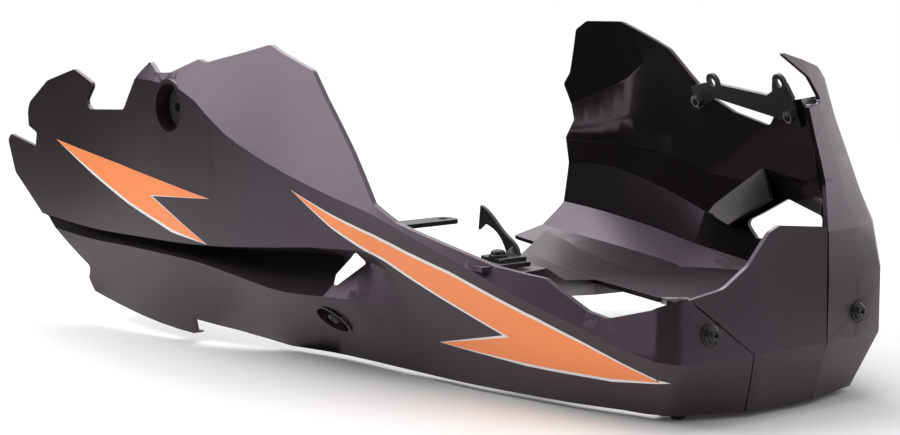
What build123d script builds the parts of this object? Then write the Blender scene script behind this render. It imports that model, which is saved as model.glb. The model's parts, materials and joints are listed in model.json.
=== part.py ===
"""Motorcycle belly pan: two moulded side panels, a nose panel, and the brackets and fasteners.

Millimetres. +X points to the front of the motorcycle, +Y to its left and +Z up. Until the last step
the tip of the nose is at x = 0, the middle of the motorcycle at y = 0 and the underside at z = 0.
"""
from collections import namedtuple
import math
import os

from build123d import *

# Walls and gaps of the mouldings
wall = 3.0
rib_spacing = 18.0
seam_gap = 0.8
lap_wall = 2.5
arm_gap = 1.2

# Nose
chin_height = 38.0
nose_undercut = 12.0
nose_lip = 24.0
nose_lean = 3.0
nose_rise = 84.0
nose_crown = 1.0
flank_crown = 3.0
face_shares = (0.45, 0.66, 0.77)
right_seam_bottom = (-24.0, 0.0)
right_seam_chin = (-30.0, chin_height)
right_seam_top = (-80.0, 76.0)
left_seam_y = 34.0
centre_rise = 118.0
centre_lean = 5.1
lap_root = 6.0
lap_inset = 1.5
lap_bond = 0.6
left_seam_top = 103.0
nose_lap_gap = 2.0
nose_lap_reach = 76.0

# Fasteners
screw_dia = 5.0
screw_hole = 5.6
flange_dia = 11.8
flange_thickness = 1.4
button_dia = 9.5
button_height = 2.8
button_round = 2.2
socket_across = 3.0
socket_depth = 1.6
washer_dia = 14.0
washer_thickness = 1.0
clip_sheet = 0.8
clip_width = 12.0
clip_past = 6.0
clip_play = 0.1
clip_barrel_dia = 8.5
clip_barrel_length = 5.0
clip_clearance = 0.5
nut_across = 8.0
nut_height = 4.0
nose_screw_y = 64.0
nose_screw_z = 54.0
nose_screw_seat = 0.6
nose_screw_length = 16.0
nose_clip_seat = 0.6
nose_clip_grip = 1.7
underside_screw_y = 56.0
underside_screw_setback = 11.0
underside_screw_length = 14.0
underside_clip_edge = 10.0
right_undercut = 25.0
left_undercut = 17.0

# Right panel: rear mount pocket, side screw dimple and joint to the tray
rear_mount_back = 420.0
rear_mount_height = 166.0
rear_mount_out = 184.0
pocket_dia = 34.0
pocket_depth = 12.0
grommet_hole = 18.0
grommet_flange_dia = 28.0
grommet_flange = 3.0
grommet_bore = 11.0
sleeve_dia = 10.8
sleeve_bore = 6.5
sleeve_flange_dia = 18.0
sleeve_flange = 1.5
grommet_play = 0.2
side_screw_back = 276.0
side_screw_height = 32.0
dimple_dia = 25.0
dimple_depth = 5.0
dimple_wall = 2.5
side_screw_length = 14.0
joint_back = 137.0
joint_inset = 28.0
joint_tab_length = 32.0
joint_tab_lap = 13.0
joint_tab_bond = 2.0
joint_tab_underside = 84.0

# Stay bracket on the right panel
stay_back = 255.0
stay_width = 18.0
stay_sheet = 3.0
stay_height = 96.0
stay_reach = 60.0
stay_flange = 24.0
stay_hole = 6.5
stay_boss_dia = 14.0
stay_boss_inner = 158.0
stay_screw_up = 13.0
stay_screw_length = 10.0
stay_pilot = 5.2
stay_pilot_depth = 8.0

# Hook bracket on the tray joint
hook_sheet = 2.5
hook_foot = 22.0
hook_foot_out = 6.5
hook_clip_edge = 8.0
hook_width = 8.0
hook_rise = 30.0
hook_lean = 34.0
hook_screw_length = 18.0

# Front mount bracket on the left panel
bar_sheet = 2.5
bar_length = 118.0
ear_hole = 6.5
ear_radius = 6.5
front_ear = (13.0, 42.0)
rear_ear = (90.0, 37.0)
bar_front_screw = (8.0, 19.0)
bar_rear_screw = (112.0, 22.0)
bar_screw_length = 10.0
bar_screw_play = 0.05

# Left panel and its tray
waist_height = 78.0
cheek_height = 107.0
blade_height = 218.0
brow_drop = 68.0
horn_drop = 36.0
tray_lip = 8.0
tray_clip_back = 88.0
tray_clip_y = -7.0
tray_clip_edge = 10.0
tray_clip_seat = 0.4
tray_clip_grip = 2.2
envelope_reach = 150.0


def offset_run(points, distance):
    """Shift a run of points to its left, keeping the wall's thickness at the corners."""
    directions = []
    for start, end in zip(points, points[1:]):
        length = math.dist(start, end)
        directions.append(((end[0] - start[0]) / length, (end[1] - start[1]) / length))
    shifted = []
    for index, (across, up) in enumerate(points):
        before = directions[max(index - 1, 0)]
        after = directions[min(index, len(directions) - 1)]
        spread = distance / (1 + before[0] * after[0] + before[1] * after[1])
        shifted.append((across - spread * (before[1] + after[1]), up + spread * (before[0] + after[0])))
    return shifted


def layer(plane, points, near, far):
    """Closed section between two offsets of a run of points."""
    with BuildSketch(plane) as section:
        with BuildLine():
            Polyline(*offset_run(points, near), *reversed(offset_run(points, far)), close=True)
        make_face()
    return section.sketch


def upright_plane(x, y, heading):
    """Upright plane whose first axis points outwards along the heading and whose second axis is up."""
    turn = math.radians(heading)
    out = (math.cos(turn), math.sin(turn), 0)
    return Plane(origin=(x, y, 0), x_dir=out, z_dir=(out[1], -out[0], 0))


def spread_along(start, end, shares):
    """Points at the given shares of the way from start to end."""
    return [(start[0] + (end[0] - start[0]) * s, start[1] + (end[1] - start[1]) * s) for s in shares]


def crowned(start, end, crown, shares=face_shares):
    """Points on a face from start to end that swells outwards, to its right, by the crown."""
    along = math.dist(start, end)
    out = ((end[1] - start[1]) / along, (start[0] - end[0]) / along)
    points = []
    for share, (across, up) in zip(shares, spread_along(start, end, shares)):
        swell = 4 * crown * share * (1 - share)
        points.append((across + out[0] * swell, up + out[1] * swell))
    return points


def outline_solid(plane, points, radii, depth):
    """Outline with rounded corners, extruded both ways, used to trim a moulding."""
    with BuildPart() as trimmer:
        with BuildSketch(plane):
            with BuildLine():
                FilletPolyline(*points, radius=radii, close=True)
            make_face()
        extrude(amount=depth, both=True)
    return trimmer.part


def button_screw(length):
    """Flanged button-head screw with its flange's underside at the origin and its head along +Z."""
    with BuildPart() as screw:
        with BuildSketch():
            Circle(flange_dia / 2)
        extrude(amount=flange_thickness)
        with BuildSketch(Plane.XY.offset(flange_thickness)):
            Circle(button_dia / 2)
        extrude(amount=button_height)
        fillet(screw.faces().sort_by(Axis.Z)[-1].edges(), radius=button_round)
        with BuildSketch():
            Circle(screw_dia / 2)
        extrude(amount=-length)
        with BuildSketch(Plane.XY.offset(flange_thickness + button_height)):
            RegularPolygon(socket_across / 2, 6, major_radius=False)
        extrude(amount=-socket_depth, mode=Mode.SUBTRACT)
    return screw.part


def clip_nut(grip, edge, hole=screw_hole):
    """Spring clip nut over a flange: the flange's outer face is at z = 0, its free edge at x = edge."""
    back = -grip - clip_play
    with BuildPart() as clip:
        with BuildSketch(Plane.XZ) as fold:
            with BuildLine():
                Polyline((-clip_past, clip_play), (edge + clip_play, clip_play),
                         (edge + clip_play, back), (-clip_past, back),
                         (-clip_past, back - clip_sheet),
                         (edge + clip_play + clip_sheet, back - clip_sheet),
                         (edge + clip_play + clip_sheet, clip_play + clip_sheet),
                         (-clip_past, clip_play + clip_sheet), close=True)
            make_face()
        extrude(amount=clip_width / 2, both=True)
        with BuildSketch(Plane.XY.offset(back)):
            Circle(clip_barrel_dia / 2)
        extrude(amount=-clip_barrel_length)
        with BuildSketch(Plane.XY.offset(clip_play + clip_sheet)):
            Circle(hole / 2)
        extrude(amount=-clip_barrel_length - grip - 4 * clip_sheet, mode=Mode.SUBTRACT)
    return clip.part


def clip_seat(grip, edge):
    """What is cut away from a flange so that it is flat and straight under a clip nut."""
    room = clip_barrel_length + clip_sheet
    width = clip_width + 2 * clip_clearance
    length = edge + clip_past + 4 * clip_clearance
    with BuildPart() as seat:
        for start, depth in ((0, room), (-grip, -room)):
            with BuildSketch(Plane.XY.offset(start)):
                with Locations((edge + 2 * clip_clearance, 0)):
                    Rectangle(length, width, align=(Align.MAX, Align.CENTER))
            extrude(amount=depth)
        with BuildSketch(Plane.XY.offset(room)):
            with Locations((edge, 0)):
                Rectangle(length, width, align=(Align.MIN, Align.CENTER))
        extrude(amount=-grip - 2 * room)
        with BuildSketch(Plane.XY.offset(room)):
            Circle(screw_hole / 2)
        extrude(amount=-grip - 2 * room)
    return seat.part


def washer(bore, dia, thickness):
    """Flat washer with its underside at the origin."""
    with BuildPart() as ring:
        with BuildSketch():
            Circle(dia / 2)
            Circle(bore / 2, mode=Mode.SUBTRACT)
        extrude(amount=thickness)
    return ring.part


def hex_nut():
    """Plain nut that hangs below the origin."""
    with BuildPart() as nut:
        with BuildSketch():
            RegularPolygon(nut_across / 2, 6, major_radius=False)
            Circle(screw_hole / 2, mode=Mode.SUBTRACT)
        extrude(amount=-nut_height)
    return nut.part


# Nose sections: place of the chin, heading, undercut, bottom lip, chin height, rise and lean
NoseRib = namedtuple("NoseRib", "x y heading undercut lip chin rise lean")

right_nose_ribs = [
    NoseRib(0, -20, 0, nose_undercut, nose_lip, chin_height, nose_rise, nose_lean),
    NoseRib(-2, -60, 0, right_undercut, nose_lip, chin_height, nose_rise, nose_lean),
    NoseRib(-4, -86, -25, 34, 16, chin_height, nose_rise, nose_lean),
    NoseRib(-13, -98, -45, 37, 12, 40, 80, 5),
    NoseRib(-36, -107, -72, 33, 10, 46, 76, 9),
]


def nose_run(rib):
    """Run of a nose section, from the inner end of its bottom lip up to its top, outwards from the chin."""
    bottom = (-rib.undercut, 0)
    lip = (-rib.undercut - rib.lip, 0)
    return [lip, bottom, *crowned(bottom, (0, rib.chin), nose_crown), (0, rib.chin), (-rib.lean, rib.rise)]


# Right panel: sections behind the nose, as distance out from the middle and height
Rib = namedtuple("Rib", "back lip bottom knee pocket gill shoulder top")


def plain_rib(back, bottom, shoulder, top, lip=10.0):
    """Section in front of the gill, where knee, pocket and gill lie on the straight face."""
    knee, pocket, gill = crowned(bottom, shoulder, flank_crown)
    return Rib(back, (bottom[0] - lip, bottom[1]), bottom, knee, pocket, gill, shoulder, top)


def gill_rib(back, bottom, knee, pocket, gill, shoulder, top, lip=6.0):
    """Section through the gill, a slot that opens downwards under the middle of the panel."""
    return Rib(back, (bottom[0] - lip, bottom[1]), bottom, knee, pocket, gill, shoulder, top)


right_ribs = [
    plain_rib(62, (79, 0), (116, 56), (104, 74)),
    plain_rib(98, (91, 0), (132, 70), (118, 92)),
    plain_rib(137, (99, 0), (145, 86), (129, 104)),
    plain_rib(185, (107, 0), (158, 104), (138, 126)),
    plain_rib(212, (109, 0), (163, 113), (142, 140)),
    gill_rib(245, (111, 0), (158, 52), (144, 77), (168, 86), (170, 121), (139, 165)),
    gill_rib(300, (115, 0), (168, 50), (150, 75), (177, 81), (178, 136), (138, 206)),
    gill_rib(350, (126, 0), (174, 55), (159, 71), (182, 76), (182, 153), (138, 224)),
    gill_rib(405, (150, 0), (179, 60), (168, 69), (184, 72), (184, 180), (158, 214)),
    gill_rib(460, (168, 0), (180, 60), (173, 68), (184, 70), (184, 184), (175, 204)),
    gill_rib(550, (175, 0), (178, 58), (174, 65), (180, 67), (179, 150), (176, 204)),
    gill_rib(704, (161, 20), (163, 60), (162, 66), (165, 68), (165, 120), (161, 190)),
]

# Side view of the right panel, from the nose along the underside to the rear tip and back along the top
right_outline = [
    (30, -5), (-330, -5), (-388, 8), (-426, 13), (-428, 1), (-482, 8), (-546, 18), (-554, 27), (-550, 36),
    (-627, 64), (-690, 94), (-704, 119), (-698, 124), (-646, 119), (-643, 130), (-660, 134), (-664, 150),
    (-622, 172), (-570, 184), (-537, 175), (-549, 161), (-540, 156), (-484, 160), (-464, 186), (-454, 196),
    (-440, 189), (-425, 190), (-404, 200), (-396, 198), (-349, 212), (-301, 197), (-212, 118), (-190, 108),
    (-120, 87), (-90, 82), (-62, 65), (-48, 62), (-20, 70), (-4, 78), (30, 90),
]
right_outline_radii = [
    0, 0, 8, 0, 2, 20, 5, 3, 4, 20, 10, 3, 2, 1, 2, 3, 12, 12, 8, 3, 3, 6, 6, 8, 2, 6, 6, 3, 3, 8, 14, 12, 20,
    8, 8, 8, 8, 8, 0, 0,
]

# Vent hole at the front end of the gill, which slants to the rear
vent_plane = Plane(origin=(-253, -149, 69.5), x_dir=(0.616, 0.788, 0), z_dir=(0.78, -0.61, 0.139))
vent_hole = [(5.8, 11.9), (12.2, 4.2), (-10.3, -12.5), (-8.4, -3.5)]
vent_depth = 45.0


def right_section(rib):
    """Section sketch of one rib of the right panel."""
    run = [rib.lip, rib.bottom, rib.knee, rib.pocket, rib.gill, rib.shoulder, rib.top]
    return layer(upright_plane(-rib.back, 0, -90), run, 0, wall)


def smooth_value(places, values, at):
    """Height at a place of the smooth line through values at places, which swings past none of them."""
    steps = [(end - start) / (after - before)
             for start, end, before, after in zip(values, values[1:], places, places[1:])]
    inner = [2 * a * b / (a + b) if a * b > 0 else 0 for a, b in zip(steps, steps[1:])]
    slopes = [steps[0], *inner, steps[-1]]
    index = max(i for i in range(len(steps)) if places[i] <= at)
    gap = places[index + 1] - places[index]
    share = (at - places[index]) / gap
    rest = 1 - share
    ends = values[index] * rest ** 2 * (1 + 2 * share) + values[index + 1] * share ** 2 * (1 + 2 * rest)
    return ends + gap * share * rest * (slopes[index] * rest - slopes[index + 1] * share)


def smooth_run(backs, runs, back):
    """Run of points at any place, smoothly between the runs at the given places."""
    return [tuple(smooth_value(backs, values, back) for values in zip(*line)) for line in zip(*runs)]


def spaced(backs):
    """The given places with others between them, close enough together to look smooth."""
    places = []
    for before, after in zip(backs, backs[1:]):
        count = max(1, round((after - before) / rib_spacing))
        places.extend(before + (after - before) * step / count for step in range(count))
    return [*places, backs[-1]]


right_backs = [rib.back for rib in right_ribs]


def rib_at(back):
    """Section of the right panel at any place."""
    return Rib(back, *smooth_run(right_backs, [rib[1:] for rib in right_ribs], back))


# Side screw: its plane lies on the lower face of the right panel, first axis forward
lower_edge = rib_at(side_screw_back).bottom
upper_edge = rib_at(side_screw_back).knee
screw_share = (side_screw_height - lower_edge[1]) / (upper_edge[1] - lower_edge[1])
screw_out = spread_along(lower_edge, upper_edge, (screw_share,))[0][0]
face_length = math.dist(lower_edge, upper_edge)
face_out = (upper_edge[1] - lower_edge[1]) / face_length
face_down = (upper_edge[0] - lower_edge[0]) / face_length
side_screw_plane = Plane(origin=(-side_screw_back, -screw_out, side_screw_height), x_dir=(1, 0, 0),
                         z_dir=(0, -face_out, -face_down))

# Rear mount: its plane lies on the outside of the right panel, facing out
rear_mount_plane = Plane(origin=(-rear_mount_back, -rear_mount_out, rear_mount_height), x_dir=(1, 0, 0),
                         z_dir=(0, -1, 0))

# Seams in front view: what lies inboard of each is cut away from the side panels
right_seam = [right_seam_bottom, right_seam_chin, right_seam_top]
seam_cut_depth = 45.0
front_view = Plane(origin=(-seam_cut_depth, 0, 0), x_dir=(0, 1, 0), z_dir=(1, 0, 0))

# Nose screws: first axis outboard, last forward. Underside screws: first axis to the rear, last down
nose_screw_planes = []
underside_screw_planes = []
nose_side = right_nose_ribs[1]
nose_slope = nose_lean / (nose_rise - chin_height)
nose_screw_x = nose_side.x - nose_slope * (nose_screw_z - chin_height) - nose_screw_seat
for side, undercut in ((-1, right_undercut), (1, left_undercut)):
    nose_screw_planes.append(Plane(origin=(nose_screw_x, side * nose_screw_y, nose_screw_z),
                                   x_dir=(0, side, 0), z_dir=(1, 0, 0)))
    underside_screw_planes.append(Plane(origin=(nose_side.x - undercut - underside_screw_setback,
                                                side * underside_screw_y, 0),
                                        x_dir=(-1, 0, 0), z_dir=(0, 0, -1)))

# Joint of the tray's arm with the right panel
joint_out = rib_at(joint_back).shoulder[0] - joint_inset
joint_tab_reach = joint_out - joint_tab_lap
joint_tab_root = joint_out + joint_inset - joint_tab_bond
joint_plane = Plane(origin=(-joint_back, -joint_out, joint_tab_underside + wall), x_dir=(-1, 0, 0),
                    z_dir=(0, 0, 1))

# Inner end of the stay's boss, facing inboard
stay_face = Plane(origin=(-stay_back, -stay_boss_inner, stay_height + stay_screw_up), x_dir=(-1, 0, 0),
                  z_dir=(0, 1, 0))

# Right side panel
with BuildPart() as right_side_panel:
    sections = [layer(upright_plane(rib.x, rib.y, rib.heading), nose_run(rib), 0, wall)
                for rib in right_nose_ribs]
    sections.extend(right_section(rib_at(back)) for back in spaced(right_backs))
    loft(sections=sections, ruled=True)
    add(outline_solid(Plane.XZ, right_outline, right_outline_radii, 400), mode=Mode.INTERSECT)
    # Seam to the nose panel
    with BuildSketch(front_view):
        with BuildLine():
            Polyline((60, -10), (right_seam_bottom[0], -10), *right_seam, (right_seam_top[0], 120), (60, 120),
                     close=True)
        make_face()
    extrude(amount=seam_cut_depth + 10, mode=Mode.SUBTRACT)
    # Vent hole in the front end of the gill
    with BuildSketch(vent_plane):
        with BuildLine():
            FilletPolyline(*vent_hole, radius=1.5, close=True)
        make_face()
    extrude(amount=vent_depth, both=True, mode=Mode.SUBTRACT)
    # Rear mount pocket
    with BuildSketch(rear_mount_plane):
        Circle(pocket_dia / 2 + wall)
    extrude(amount=-pocket_depth - wall)
    with BuildSketch(rear_mount_plane.offset(wall)):
        Circle(pocket_dia / 2)
    extrude(amount=-pocket_depth - wall, mode=Mode.SUBTRACT)
    with BuildSketch(rear_mount_plane):
        Circle(grommet_hole / 2)
    extrude(amount=-pocket_depth - 2 * wall, mode=Mode.SUBTRACT)
    # Dimple of the side screw
    with BuildSketch(side_screw_plane):
        Circle(dimple_dia / 2 + dimple_wall)
    extrude(amount=-dimple_depth - wall)
    with BuildSketch(side_screw_plane.offset(wall)):
        Circle(dimple_dia / 2)
    extrude(amount=-dimple_depth - wall, mode=Mode.SUBTRACT)
    with BuildSketch(side_screw_plane):
        Circle(screw_hole / 2)
    extrude(amount=-dimple_depth - 2 * wall, mode=Mode.SUBTRACT)
    # Boss of the stay bracket
    with BuildSketch(stay_face):
        Circle(stay_boss_dia / 2)
    extrude(until=Until.PREVIOUS)
    with BuildSketch(stay_face):
        Circle(stay_pilot / 2)
    extrude(amount=-stay_pilot_depth, mode=Mode.SUBTRACT)
    # Tab that carries the end of the tray
    with BuildSketch(Plane.XY.offset(joint_tab_underside)):
        with Locations((-joint_back, -(joint_tab_reach + joint_tab_root) / 2)):
            Rectangle(joint_tab_length, joint_tab_root - joint_tab_reach)
    extrude(amount=wall)
    with BuildSketch(joint_plane):
        Circle(screw_hole / 2)
    extrude(amount=-wall, mode=Mode.SUBTRACT)
    # Holes for the nose and underside screws, with flat seats
    with BuildSketch(nose_screw_planes[0]):
        Circle(washer_dia / 2 + clip_clearance)
    extrude(amount=wall, mode=Mode.SUBTRACT)
    with BuildSketch(nose_screw_planes[0]):
        Circle(screw_hole / 2)
    extrude(amount=-2 * wall, mode=Mode.SUBTRACT)
    with BuildSketch(underside_screw_planes[0]):
        Circle(screw_hole / 2)
    extrude(amount=-wall, mode=Mode.SUBTRACT)

# Left panel: run of each section as offsets from the chin at the nose, and as distances out along the side
LeftRib = namedtuple("LeftRib", "x y heading run")


def left_nose_rib(x, y, heading, undercut, lip, waist, cheek, brow, top):
    """Section of the left panel at the nose: how far each line lies outside the chin."""
    brow_end, top_end = (brow, brow_height - 2), (top, blade_height)
    upper = [brow_end, *crowned(brow_end, top_end, crease_swell, crease_shares), top_end]
    run = [(-undercut - lip, 0), (-undercut, 0), (0, chin_height), (waist, waist_height),
           (cheek, cheek_height), *upper]
    return LeftRib(x, y, heading, run)


def left_side_rib(back, *run, creases=None):
    """Section of the left panel along its side, with or without creases between its brow and its top."""
    *lower, top = run
    between = creases or crowned(lower[-1], top, crease_swell, crease_shares)
    return LeftRib(-back, 0, 90, [*lower, *between, top])


crease_shares = (1 / 3, 2 / 3)
crease_swell = 0.02
horn_foot = blade_height - horn_drop
wall_height = blade_height + 8
brow_height = blade_height - brow_drop

left_nose_ribs = [
    left_nose_rib(0, left_seam_y + seam_gap / 2, 0, nose_undercut, nose_lip, 0, -1, -20, -56),
    left_nose_rib(-2, 62, 0, left_undercut, nose_lip, -0.5, -3, -20, -54),
    left_nose_rib(-4, 86, 10, 20, 18, 0, -7, -25, -56),
    left_nose_rib(-14, 98, 20, 24, 16, 0, -6, -26, -48),
]
left_side_ribs = [
    left_side_rib(60, (74, 0), (88, 0), (116, 45), (119, 78), (116, 107), (105, brow_height),
                  (84, blade_height)),
    left_side_rib(100, (88, 12), (102, 12), (131, 54), (137, 82), (138, 110), (125, brow_height),
                  (100.5, blade_height)),
    left_side_rib(160, (104, 34), (118, 35), (139, 55), (146, 84), (147, 112), (134, brow_height),
                  (109.5, blade_height)),
    left_side_rib(220, (84, 46), (112, 50), (136, 62), (147, 86), (151, 115), (143, brow_height),
                  (118.5, blade_height)),
    left_side_rib(255, (80, 50), (110, 54), (136, 68), (148, 96), (151.5, 124), (149, 142),
                  (122, blade_height + 5), creases=[(142, 168), (131.5, blade_height - 17)]),
    left_side_rib(300, (78, 53), (108, 58), (134, 74), (148, 106), (152, 128), (150, 138), (120, wall_height),
                  creases=[(147.5, 150), (143.5, 180)]),
    left_side_rib(330, (79, 54), (108, 60), (133, 77), (147.5, 110), (149, 128), (147, 135),
                  (118, wall_height), creases=[(145.5, 144), (143, 167)]),
    left_side_rib(380, (82, 58), (110, 64), (131, 80), (141, 108), (142.5, 126), (141.5, 132),
                  (115, wall_height), creases=[(140.5, 139), (139.5, 149)]),
]

# The rear of the left wall is smooth
rear_ribs = left_side_ribs[3:]
rear_backs = [-rib.x for rib in rear_ribs]
left_side_ribs[3:] = [LeftRib(-back, 0, 90, smooth_run(rear_backs, [rib.run for rib in rear_ribs], back))
                      for back in spaced(rear_backs)]

# Side view of the left panel, from the nose along the underside to the rear edge and back along the top
left_outline = [
    (30, -5), (-358, -5), (-358, 77), (-370, 128), (-359, 143), (-363, 171), (-354, 180),
    (-335, blade_height - 4), (-321, blade_height + 3), (-286, blade_height + 4), (-258, blade_height - 7),
    (-239, blade_height - 14), (-206, blade_height - 44), (-178, blade_height - 55),
    (-140, blade_height - 62), (-128, horn_foot - 14), (-112, horn_foot - 6), (-76, horn_foot),
    (-70, blade_height + 22), (30, blade_height + 22),
]
left_outline_radii = [0, 0, 20, 4, 4, 4, 8, 8, 6, 8, 10, 14, 12, 14, 8, 6, 8, 0, 0, 0]

# Front view of the blade and its horn: what lies inside this line is cut away
blade_cut = [
    (-60, left_seam_top + 4), (left_seam_y, left_seam_top + 4), (46, horn_foot - 47), (50, horn_foot - 20),
    (54, horn_foot), (70, horn_foot - 1), (63, horn_foot + 16), (43, horn_foot + 33), (78, horn_foot + 22),
    (89, horn_foot + 7), (96, horn_foot - 1), (180, horn_foot - 1), (180, blade_height + 42),
    (-60, blade_height + 42),
]
blade_cut_radii = [0, 0, 20, 20, 3, 4, 8, 1, 10, 6, 6, 0, 0, 0]
blade_cut_back = 76.0

# Gill slot of the left panel, in side view
left_slot = [(-96, 97), (-135, 105), (-178, 84), (-165, 74), (-96, 74)]

# Lip behind that slot: ends of its root on the wall and of its free edge inside the pan
lip_root = [Vector(-223, 147, 85), Vector(-158.6, 141, 124.3)]
lip_edge = [Vector(-182, 131, 82), Vector(-137, 126, 106)]

# Tray of the left panel: rear and front edge of its underside at distances across the pan
TrayRib = namedtuple("TrayRib", "y rear front")
arm_underside = joint_tab_underside - arm_gap - wall
arm_ribs = [
    TrayRib(-joint_out - hook_clip_edge, (-166, arm_underside), (-113, arm_underside)),
    TrayRib(-96, (-172, arm_underside), (-118, arm_underside)),
    TrayRib(-42, (-213, 67), (-163, 61)),
    TrayRib(30, (-288, 57), (-214, 47)),
    TrayRib(95, (-342, 59), (-214, 45)),
    TrayRib(150, (-362, 66), (-214, 50)),
]
tray_ribs = [
    TrayRib(-35, (-50, 58), (-14, 58)),
    TrayRib(30, (-214, 47), (-14, 56)),
    TrayRib(85, (-230, 45), (-34, 52)),
    TrayRib(150, (-230, 50), (-100, 48)),
]


def tray_point(x, y):
    """Point of the tray's underside between its first two ribs."""
    near, far = tray_ribs[0], tray_ribs[1]
    share = (y - near.y) / (far.y - near.y)
    rear = spread_along(near.rear, far.rear, (share,))[0]
    front = spread_along(near.front, far.front, (share,))[0]
    along = (x - rear[0]) / (front[0] - rear[0])
    return Vector(x, y, rear[1] + (front[1] - rear[1]) * along)


# Clip nut on the tray's near edge: first axis out over the edge, last axis up
tray_edge = Vector(tray_ribs[0].rear[0] - tray_ribs[1].rear[0], tray_ribs[0].y - tray_ribs[1].y)
tray_out = Vector(tray_edge.Y, -tray_edge.X).normalized()
tray_clip_spot = tray_point(-tray_clip_back, tray_clip_y)
tray_slope_out = tray_point(-tray_clip_back + tray_out.X, tray_clip_y + tray_out.Y) - tray_clip_spot
tray_slope_side = tray_point(-tray_clip_back - tray_out.Y, tray_clip_y + tray_out.X) - tray_clip_spot
tray_clip_plane = Plane(origin=tray_clip_spot, x_dir=tray_slope_out,
                        z_dir=tray_slope_out.cross(tray_slope_side)).offset(wall - tray_clip_seat)


def left_section(rib):
    """Section sketch of one rib of the left panel."""
    return layer(upright_plane(rib.x, rib.y, rib.heading), rib.run, 0, wall)


def filled_section(rib):
    """Section of everything inboard of the left panel's outside."""
    with BuildSketch(upright_plane(rib.x, rib.y, rib.heading)) as section:
        with BuildLine():
            Polyline(*rib.run[1:], (-envelope_reach, rib.run[-1][1]), (-envelope_reach, -1),
                     (rib.run[1][0], -1), close=True)
        make_face()
    return section.sketch


def lip_section(root, edge):
    """Section of the lip from its root on the wall to its free edge."""
    along = lip_root[1] - lip_root[0]
    across = edge - root
    with BuildSketch(Plane(origin=root, x_dir=across, z_dir=across.cross(along).cross(across))) as end:
        Rectangle(across.length, lap_wall, align=(Align.MIN, Align.CENTER))
    return end.sketch


# Tray and arm, cut off at the outside of the left wall
with BuildPart() as tray:
    loft(sections=[layer(upright_plane(0, rib.y, 0),
                         [rib.rear, rib.front, (rib.front[0], rib.front[1] - tray_lip)], 0, wall)
                   for rib in arm_ribs], ruled=True)
    loft(sections=[layer(upright_plane(0, rib.y, 0), [rib.rear, rib.front], 0, wall)
                   for rib in tray_ribs], ruled=True)

with BuildPart() as left_inside:
    loft(sections=[filled_section(rib) for rib in left_side_ribs], ruled=True)
    with BuildSketch(Plane.XY):
        with Locations((-left_side_ribs[0].x / 2 + left_side_ribs[0].x, 0)):
            Rectangle(-left_side_ribs[0].x, 2 * nose_screw_y)
    extrude(amount=blade_height)

# Plane of the upper left wall, where the front bracket is bolted: first axis to the rear, last axis out
wall_front, wall_rear = left_side_ribs[1], left_side_ribs[2]
brow_start = Vector(wall_front.x, wall_front.run[5][0], wall_front.run[5][1])
brow_end = Vector(wall_rear.x, wall_rear.run[5][0], wall_rear.run[5][1])
wall_top = Vector(wall_front.x, wall_front.run[-1][0], wall_front.run[-1][1])
bar_plane = Plane(origin=brow_start, x_dir=brow_end - brow_start,
                  z_dir=(brow_end - brow_start).cross(wall_top - brow_start))

# Left side panel with its tray
with BuildPart() as left_side_panel:
    loft(sections=[left_section(rib) for rib in left_nose_ribs + left_side_ribs], ruled=True)
    add(outline_solid(Plane.XZ, left_outline, left_outline_radii, 400), mode=Mode.INTERSECT)
    with BuildSketch(Plane(origin=(-blade_cut_back, 0, 0), x_dir=(0, 1, 0), z_dir=(1, 0, 0))):
        with BuildLine():
            FilletPolyline(*blade_cut, radius=blade_cut_radii, close=True)
        make_face()
    extrude(amount=2 * blade_cut_back, mode=Mode.SUBTRACT)
    with BuildSketch(Plane.XZ):
        with BuildLine():
            FilletPolyline(*left_slot, radius=3, close=True)
        make_face()
    extrude(amount=-200, mode=Mode.SUBTRACT)
    add(tray.part.intersect(left_inside.part))
    loft(sections=[lip_section(root, edge) for root, edge in zip(lip_root, lip_edge)], ruled=True)
    add(clip_seat(tray_clip_grip, tray_clip_edge).moved(tray_clip_plane.location), mode=Mode.SUBTRACT)
    with BuildSketch(joint_plane):
        Circle(screw_hole / 2)
    extrude(amount=-4 * wall, mode=Mode.SUBTRACT)
    with BuildSketch(nose_screw_planes[1]):
        Circle(washer_dia / 2 + clip_clearance)
    extrude(amount=wall, mode=Mode.SUBTRACT)
    with BuildSketch(nose_screw_planes[1]):
        Circle(screw_hole / 2)
    extrude(amount=-2 * wall, mode=Mode.SUBTRACT)
    with BuildSketch(underside_screw_planes[1]):
        Circle(screw_hole / 2)
    extrude(amount=-wall, mode=Mode.SUBTRACT)
    with BuildSketch(bar_plane.offset(wall)):
        with Locations(bar_front_screw, bar_rear_screw):
            Circle(screw_hole / 2)
    extrude(amount=-3 * wall, mode=Mode.SUBTRACT)

# Nose centre panel: sections across the nose, from behind the right panel to behind the left one
centre_ribs = [
    NoseRib(-4, -86, 0, 34, 16, chin_height, centre_rise, centre_lean),
    NoseRib(-2, -60, 0, right_undercut, nose_lip, chin_height, centre_rise, centre_lean),
    NoseRib(0, -20, 0, nose_undercut, nose_lip, chin_height, centre_rise, centre_lean),
    NoseRib(0, left_seam_y, 0, nose_undercut, nose_lip, chin_height, centre_rise, 1.5),
    NoseRib(-2, 62, 0, left_undercut, nose_lip, chin_height, centre_rise, 3.0),
    NoseRib(-3, 78, 0, 18.5, 20, chin_height, centre_rise, 5.0),
]
centre_outline = [
    (right_seam_bottom[0] + seam_gap, -10), (right_seam_bottom[0] + seam_gap, 0),
    (right_seam_chin[0] + seam_gap, chin_height),
    (right_seam_top[0] + 2 * seam_gap, right_seam_top[1]), (-52, 80),
    (-32, 92), (-14, 111), (-6, 114), (left_seam_y - seam_gap / 2, 110),
    (left_seam_y - seam_gap / 2, -10),
]
centre_outline_radii = [0, 0, 0, 0, 20, 16, 8, 4, 3, 0]

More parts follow.
